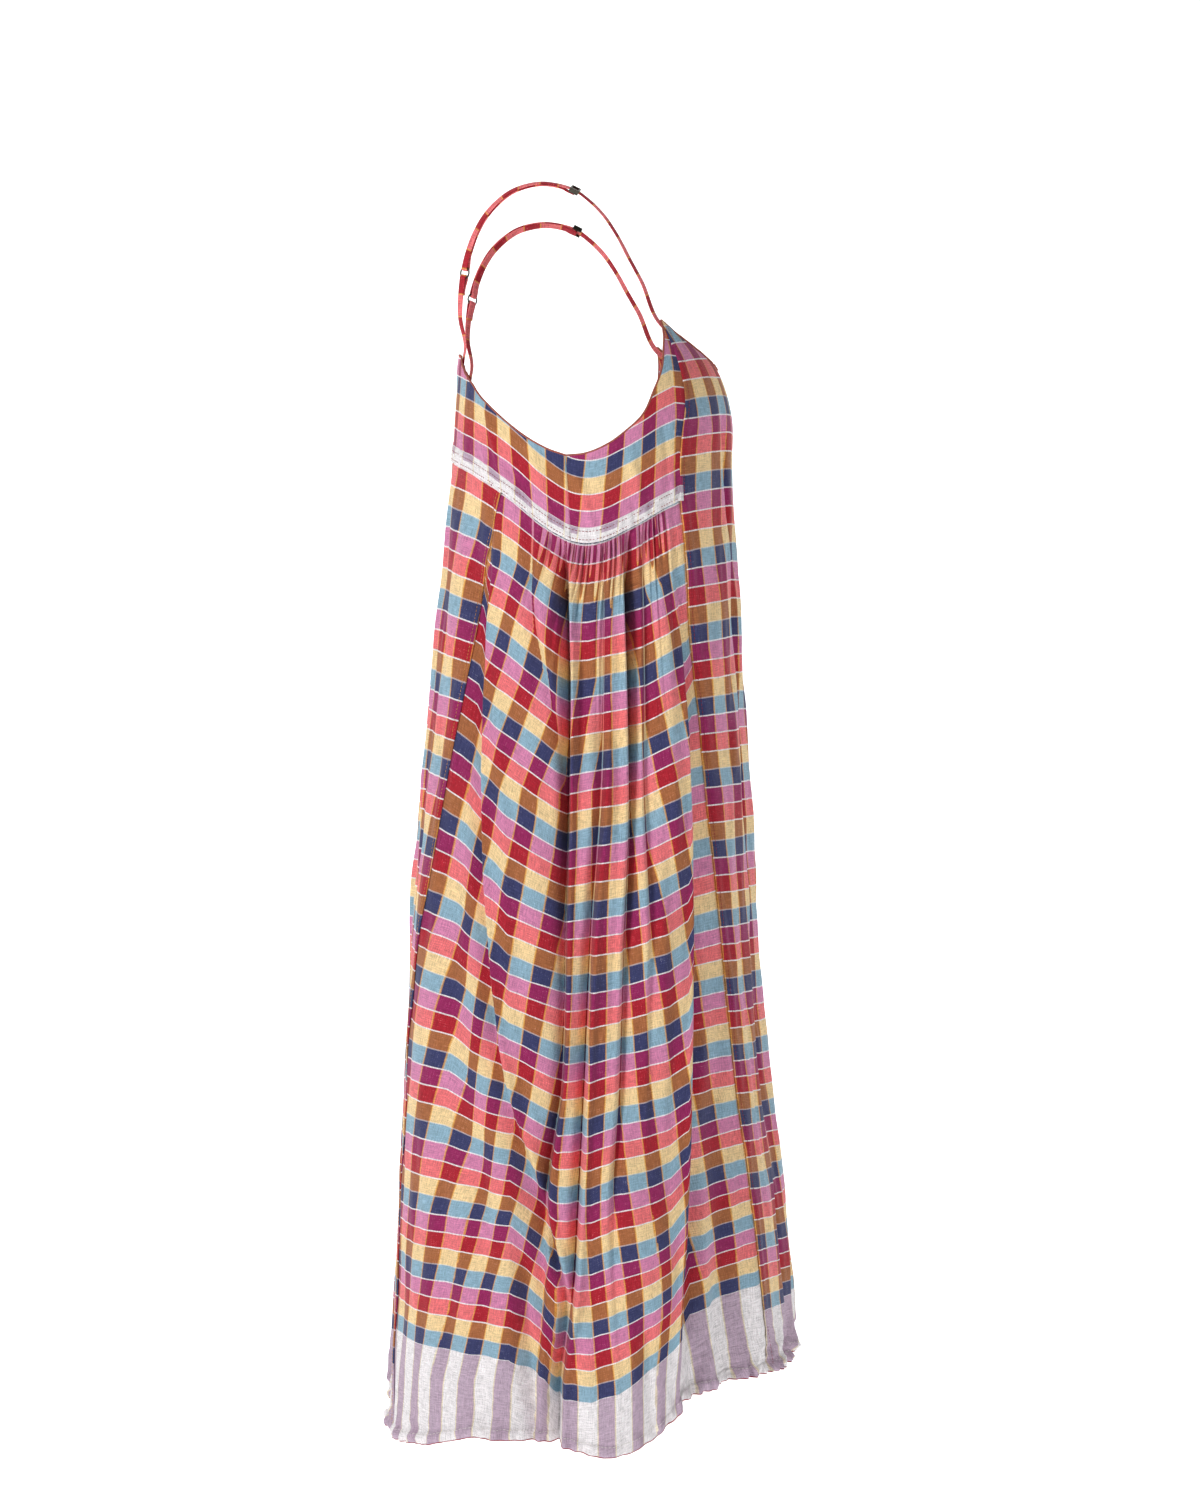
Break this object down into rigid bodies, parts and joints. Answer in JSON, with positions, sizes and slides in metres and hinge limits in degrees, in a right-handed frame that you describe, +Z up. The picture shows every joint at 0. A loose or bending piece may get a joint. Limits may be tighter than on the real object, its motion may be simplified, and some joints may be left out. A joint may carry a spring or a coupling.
{
  "type": "slip dress",
  "caption": "Sleeveless check cotton slip dress in its worn, hollow form, with thin adjustable straps, a fitted yoke and a long skirt gathered at the sides.",
  "frame": {"origin": "on the middle plane, level with the tops of the shoulder straps, where the wearer's shoulders hold the dress", "axes": "+Z up along the dress's length, -Y the way the wearer faces, -X the wearer's right side"},
  "size_m": [0.545, 0.3603, 1.0846],
  "materials": {
    "check_cotton_front": "matte handloom cotton with a check of magenta, red, sand and blue bands",
    "check_cotton_yoke": "matte handloom cotton, the same check with a white border band at the lower edge",
    "check_cotton_side": "matte handloom cotton, the same check, crinkled by the gathers",
    "check_cotton_back": "matte handloom cotton, the same check",
    "check_cotton_strap": "matte cotton, red part of the same check",
    "dark_metal": "smooth dark nickel"
  },
  "bodies": {
    "root": {"front_panel": "check_cotton_front", "side_yoke_right": "check_cotton_yoke", "side_yoke_left": "check_cotton_yoke", "back_yoke": "check_cotton_yoke", "side_skirt_right": "check_cotton_side", "side_skirt_left": "check_cotton_side", "back_skirt": "check_cotton_back", "strap_right": "check_cotton_strap", "strap_left": "check_cotton_strap", "back_tab_right": "check_cotton_strap", "back_tab_left": "check_cotton_strap", "ring_right": "dark_metal", "ring_left": "dark_metal", "slide_right": "dark_metal", "slide_left": "dark_metal"}
  },
  "joints": []
}
